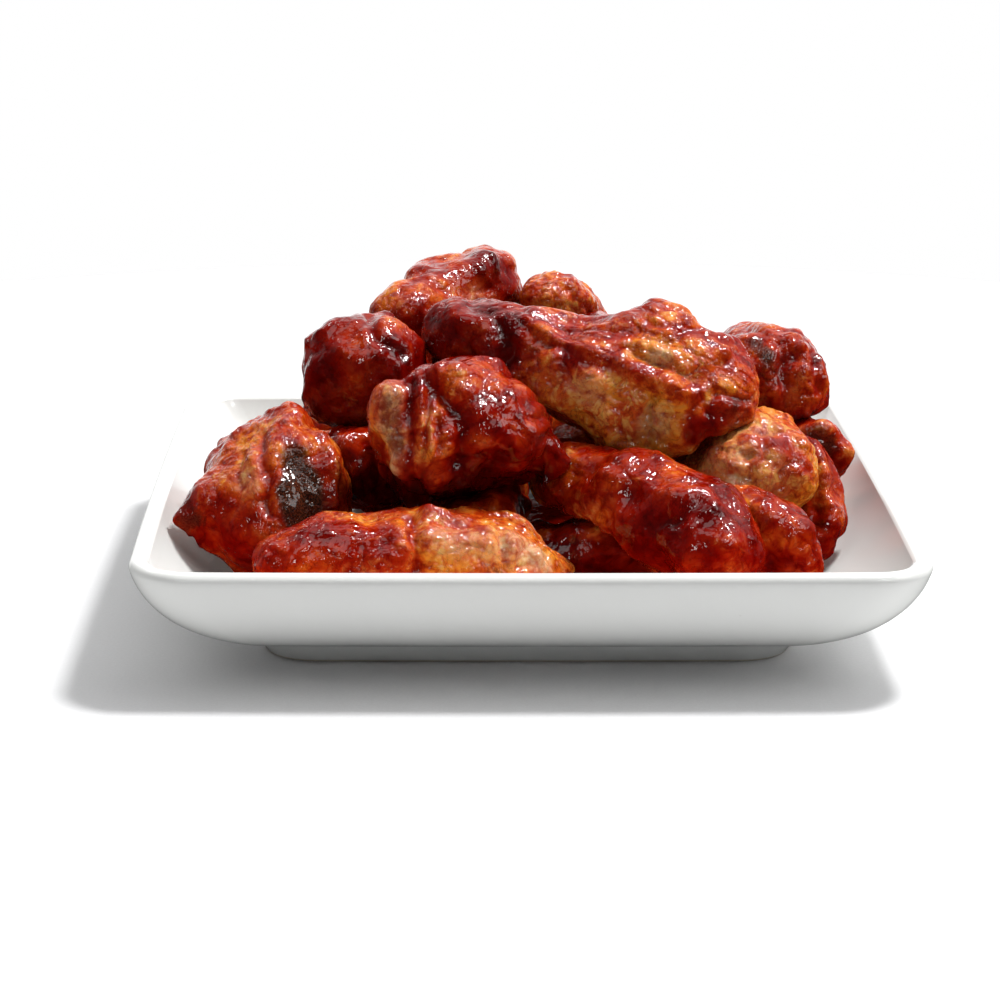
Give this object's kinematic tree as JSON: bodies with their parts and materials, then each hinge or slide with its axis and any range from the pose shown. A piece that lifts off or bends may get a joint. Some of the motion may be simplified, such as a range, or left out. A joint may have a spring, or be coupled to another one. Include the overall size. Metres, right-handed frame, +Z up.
{
  "type": "dish of sauced chicken wings",
  "caption": "Sauced chicken wings heaped in a square white porcelain dish with a low foot, as served.",
  "frame": {"origin": "on the table, under the middle of the dish's foot", "axes": "+Z up, +X to the right and +Y to the back as served"},
  "size_m": [0.2028, 0.2028, 0.0851],
  "materials": {
    "porcelain": "smooth gloss white glaze",
    "sauced_wing": "roasted chicken skin under a wet, glossy red-brown barbecue sauce, with orange skin, char and pale gristle"
  },
  "bodies": {
    "root": {"dish": "porcelain", "wing_top": "sauced_wing", "wing_front_right": "sauced_wing", "wing_front": "sauced_wing", "wing_centre": "sauced_wing", "wing_left_upper": "sauced_wing", "wing_left": "sauced_wing", "wing_left_inner": "sauced_wing", "wing_right_mid": "sauced_wing", "wing_corner": "sauced_wing", "wing_right_edge": "sauced_wing", "wing_right_far": "sauced_wing", "wing_right_back": "sauced_wing", "wing_back_upper": "sauced_wing", "wing_back_top": "sauced_wing", "wing_under_front": "sauced_wing", "wing_under_centre": "sauced_wing", "wing_under_top": "sauced_wing", "wing_low_left": "sauced_wing", "wing_low_back": "sauced_wing", "wing_low_right": "sauced_wing", "wing_low_corner": "sauced_wing", "wing_mid_left": "sauced_wing", "wing_mid_right": "sauced_wing", "wing_high_back": "sauced_wing"}
  },
  "joints": []
}
